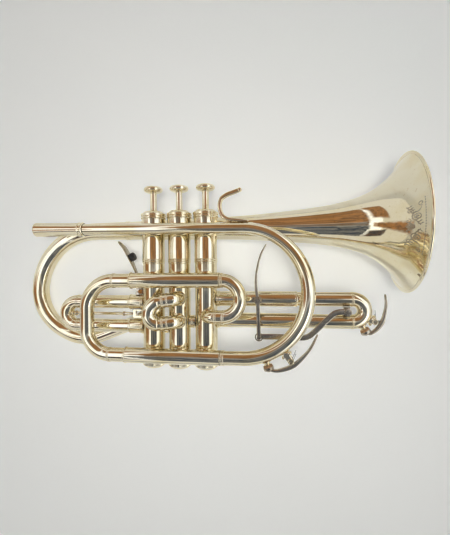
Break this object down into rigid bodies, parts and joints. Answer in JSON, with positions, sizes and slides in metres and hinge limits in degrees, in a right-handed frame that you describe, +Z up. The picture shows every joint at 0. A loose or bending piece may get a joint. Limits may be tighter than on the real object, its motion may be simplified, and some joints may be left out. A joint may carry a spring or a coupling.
{
  "type": "cornet",
  "caption": "Short-wrap cornet with three piston valves, pull slides, two slide triggers and water keys, lying on its side; plays notes through its bell",
  "frame": {"origin": "centre of the bottom of the bounding box, on the surface the cornet lies on", "axes": "+X towards the bell, +Y along the valves towards the finger buttons, +Z up from the surface, towards the player's right"},
  "size_m": [0.3628, 0.188, 0.1196],
  "materials": {
    "silver_plate": "polished silver plate, warm with light tarnish",
    "worn_silver": "silver plate worn and darkened by handling",
    "piston_nickel": "honed nickel alloy",
    "spring_steel": "bright wire",
    "cork": "natural cork",
    "bumper_rubber": "matt"
  },
  "bodies": {
    "body": {"leadpipe": "silver_plate", "mouthpiece_receiver": "silver_plate", "main_bow": "silver_plate", "tuning_sleeve_lower": "silver_plate", "tuning_sleeve_upper": "silver_plate", "valve_crook": "silver_plate", "valve_casing_1": "silver_plate", "top_cap_1": "silver_plate", "bottom_cap_1": "silver_plate", "valve_guide_1": "piston_nickel", "valve_casing_2": "silver_plate", "top_cap_2": "silver_plate", "bottom_cap_2": "silver_plate", "valve_guide_2": "piston_nickel", "valve_casing_3": "silver_plate", "top_cap_3": "silver_plate", "bottom_cap_3": "silver_plate", "valve_guide_3": "piston_nickel", "casing_link_tube_1": "silver_plate", "casing_link_tube_2": "silver_plate", "first_slide_sleeve_upper": "silver_plate", "first_slide_sleeve_lower": "silver_plate", "first_trigger_post": "worn_silver", "second_slide_knuckle_upper": "silver_plate", "second_slide_knuckle_lower": "silver_plate", "third_slide_sleeve_upper": "silver_plate", "third_slide_sleeve_lower": "silver_plate", "third_trigger_post": "worn_silver", "water_key_saddle_1": "silver_plate", "bell": "silver_plate", "bell_bow": "silver_plate", "bell_stay_front": "silver_plate", "bell_stay_rear": "silver_plate", "pinky_hook": "worn_silver"},
    "valve_1": {"piston_1": "piston_nickel", "valve_stem_1": "silver_plate", "finger_button_1": "silver_plate", "valve_spring_1": "spring_steel"},
    "valve_2": {"piston_2": "piston_nickel", "valve_stem_2": "silver_plate", "finger_button_2": "silver_plate", "valve_spring_2": "spring_steel"},
    "valve_3": {"piston_3": "piston_nickel", "valve_stem_3": "silver_plate", "finger_button_3": "silver_plate", "valve_spring_3": "spring_steel"},
    "main_tuning": {"tuning_slide": "silver_plate"},
    "first_slide_body": {"first_slide": "silver_plate"},
    "first_trigger": {"first_trigger_lever": "worn_silver", "first_trigger_bumper": "bumper_rubber"},
    "second_slide_body": {"second_slide": "silver_plate"},
    "third_slide_body": {"third_slide": "silver_plate", "third_slide_brace": "worn_silver", "water_key_saddle_2": "silver_plate"},
    "third_trigger": {"third_trigger_lever": "worn_silver"},
    "third_link": {"third_link_bar": "worn_silver"},
    "water_key_1": {"water_key_lever_1": "worn_silver", "water_key_cork_1": "cork"},
    "water_key_2": {"water_key_lever_2": "worn_silver", "water_key_cork_2": "cork"}
  },
  "joints": [
    {"name": "valve_1_press", "type": "slide", "parent": "body", "child": "valve_1", "axis": [0, -1, 0], "range_m": [0, 0.016], "stiffness_N_per_m": 140, "springref_m": -0.02, "deforming": ["valve_spring_1"]},
    {"name": "valve_2_press", "type": "slide", "parent": "body", "child": "valve_2", "axis": [0, -1, 0], "range_m": [0, 0.016], "stiffness_N_per_m": 140, "springref_m": -0.02, "deforming": ["valve_spring_2"]},
    {"name": "valve_3_press", "type": "slide", "parent": "body", "child": "valve_3", "axis": [0, -1, 0], "range_m": [0, 0.016], "stiffness_N_per_m": 140, "springref_m": -0.02, "deforming": ["valve_spring_3"]},
    {"name": "tuning_slide_pull", "type": "slide", "parent": "body", "child": "main_tuning", "axis": [-0.9869, 0, -0.1616], "range_m": [0, 0.03]},
    {"name": "first_slide_pull", "type": "slide", "parent": "body", "child": "first_slide_body", "axis": [-0.9869, 0, -0.1616], "range_m": [0, 0.0058]},
    {"name": "first_trigger_turn", "type": "hinge", "parent": "body", "child": "first_trigger", "pos_m": [-0.06542, -0.02305, 0.0329], "axis": [0.1616, 0, -0.9869], "range_deg": [0, 15]},
    {"name": "second_slide_pull", "type": "slide", "parent": "body", "child": "second_slide_body", "axis": [-0.9919, -0.1201, -0.0408], "range_m": [0, 0.0045]},
    {"name": "third_slide_pull", "type": "slide", "parent": "body", "child": "third_slide_body", "axis": [0.9869, 0, 0.1616], "range_m": [0, 0.0154]},
    {"name": "third_trigger_turn", "type": "hinge", "parent": "body", "child": "third_trigger", "pos_m": [0.04098, -0.03175, 0.06815], "axis": [-0.1616, 0, 0.9869], "range_deg": [0, 28.5]},
    {"name": "third_link_turn", "type": "hinge", "parent": "third_slide_body", "child": "third_link", "pos_m": [0.11392, -0.04125, 0.07756], "axis": [-0.1616, 0, 0.9869], "range_deg": [-4, 0]},
    {"name": "water_key_1_turn", "type": "hinge", "parent": "body", "child": "water_key_1", "pos_m": [0.06593, -0.07915, 0.08227], "axis": [-0.1616, 0, 0.9869], "range_deg": [0, 15], "stiffness_Nm_per_rad": 0.03, "springref_deg": -20.05},
    {"name": "water_key_2_turn", "type": "hinge", "parent": "third_slide_body", "child": "water_key_2", "pos_m": [0.13668, -0.04945, 0.0741], "axis": [-0.1616, 0, 0.9869], "range_deg": [0, 15], "stiffness_Nm_per_rad": 0.03, "springref_deg": -20.05}
  ],
  "couplings": [
    {"joint": "first_trigger_turn", "follows": "first_slide_pull", "rad_per_m": 44.444},
    {"joint": "third_trigger_turn", "follows": "third_slide_pull", "rad_per_m": 31.746},
    {"joint": "third_link_turn", "follows": "third_slide_pull", "rad_per_m": -4.2}
  ]
}
